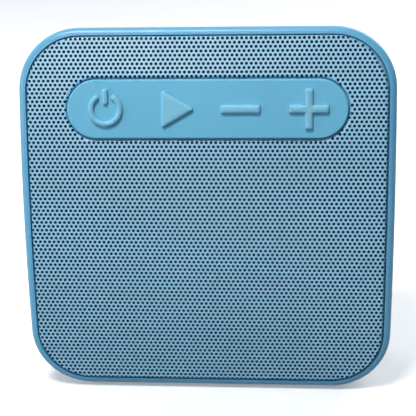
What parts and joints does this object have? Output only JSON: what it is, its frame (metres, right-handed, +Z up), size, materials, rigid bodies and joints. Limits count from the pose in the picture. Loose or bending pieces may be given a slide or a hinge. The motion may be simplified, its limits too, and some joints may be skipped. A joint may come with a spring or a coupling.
{
  "type": "portable bluetooth speaker",
  "caption": "Rounded square portable speaker with a domed perforated metal grille, a pill-shaped silicone key pad with raised symbols, and sockets in the back.",
  "frame": {"origin": "on the surface the feet stand on, under the middle of the body", "axes": "+Z up, -Y out of the grille towards the listener, +X to the right seen from the front"},
  "size_m": [0.0902, 0.0385, 0.0907],
  "materials": {
    "shell": "satin moulded plastic, sky blue",
    "grille_paint": "satin paint on perforated sheet, sky blue",
    "silicone": "matte silicone, sky blue",
    "dust_cloth": "black acoustic cloth",
    "foot_rubber": "matte black rubber",
    "black_foam": "closed-cell foam",
    "screw_steel": "zinc plated",
    "switch_black": "moulded black",
    "switch_metal": "plated cover",
    "board_green": "solder mask",
    "board_brown": "phenolic board",
    "ribbon_film": "amber film",
    "basket_paint": "black paint on stamped steel",
    "plated_iron": "zinc plated iron",
    "ferrite": "sintered ferrite",
    "former_foil": "aluminium foil",
    "copper_winding": "enamelled copper wire",
    "cone_paper": "pressed black paper",
    "surround_rubber": "soft rubber",
    "spider_cloth": "resin-dipped cloth",
    "capacitor_can": "aluminium can",
    "connector_white": "natural nylon",
    "socket_steel": "plated steel",
    "jack_black": "moulded black",
    "clear_plastic": "clear acrylic",
    "battery_foil": "laminated foil pouch",
    "lead_sleeve": "insulated lead",
    "chip_black": "moulded package",
    "led_body": "lamp package"
  },
  "bodies": {
    "speaker": {"front_housing": "shell", "rear_shell": "shell", "shell_gasket": "black_foam", "shell_screws": "screw_steel", "rubber_feet": "foot_rubber", "grille": "grille_paint", "dust_cloth": "dust_cloth", "button_pad": "silicone", "switch_bodies": "switch_metal", "key_board": "board_green", "key_board_screws": "screw_steel", "key_ribbon": "ribbon_film", "driver_gasket": "black_foam", "driver_basket": "basket_paint", "driver_screws": "screw_steel", "driver_top_plate": "plated_iron", "driver_magnet": "ferrite", "driver_yoke": "plated_iron", "driver_surround": "surround_rubber", "driver_spider": "spider_cloth", "driver_terminal": "board_brown", "main_board": "board_green", "board_screws": "screw_steel", "capacitors": "capacitor_can", "battery_connector": "connector_white", "speaker_connector": "connector_white", "usb_shell": "socket_steel", "usb_tongue": "switch_black", "aux_jack": "jack_black", "light_pipe": "clear_plastic", "microphone": "socket_steel", "battery": "battery_foil", "battery_tape": "black_foam", "battery_protection_board": "board_green", "battery_leads": "lead_sleeve", "speaker_leads": "lead_sleeve", "bluetooth_chip": "chip_black", "amplifier_chip": "chip_black", "charge_chip": "chip_black", "power_inductor": "ferrite", "crystal": "socket_steel", "status_led": "led_body", "ribbon_connector": "connector_white"},
    "power_button": {"power_key": "silicone", "power_switch_stem": "switch_black"},
    "play_button": {"play_key": "silicone", "play_switch_stem": "switch_black"},
    "minus_button": {"minus_key": "silicone", "minus_switch_stem": "switch_black"},
    "plus_button": {"plus_key": "silicone", "plus_switch_stem": "switch_black"},
    "cone_assembly": {"driver_cone": "cone_paper", "driver_dust_cap": "cone_paper", "coil_former": "former_foil", "voice_coil": "copper_winding"}
  },
  "joints": [
    {"name": "power_press", "type": "slide", "parent": "speaker", "child": "power_button", "axis": [0, 1, 0], "range_m": [0, 0.0003], "stiffness_N_per_m": 4000},
    {"name": "play_press", "type": "slide", "parent": "speaker", "child": "play_button", "axis": [0, 1, 0], "range_m": [0, 0.0003], "stiffness_N_per_m": 4000},
    {"name": "minus_press", "type": "slide", "parent": "speaker", "child": "minus_button", "axis": [0, 1, 0], "range_m": [0, 0.0003], "stiffness_N_per_m": 4000},
    {"name": "plus_press", "type": "slide", "parent": "speaker", "child": "plus_button", "axis": [0, 1, 0], "range_m": [0, 0.0003], "stiffness_N_per_m": 4000},
    {"name": "cone_travel", "type": "slide", "parent": "speaker", "child": "cone_assembly", "axis": [0, 1, 0], "range_m": [-0.0015, 0.0015], "stiffness_N_per_m": 1500, "deforming": ["driver_surround", "driver_spider"]}
  ]
}
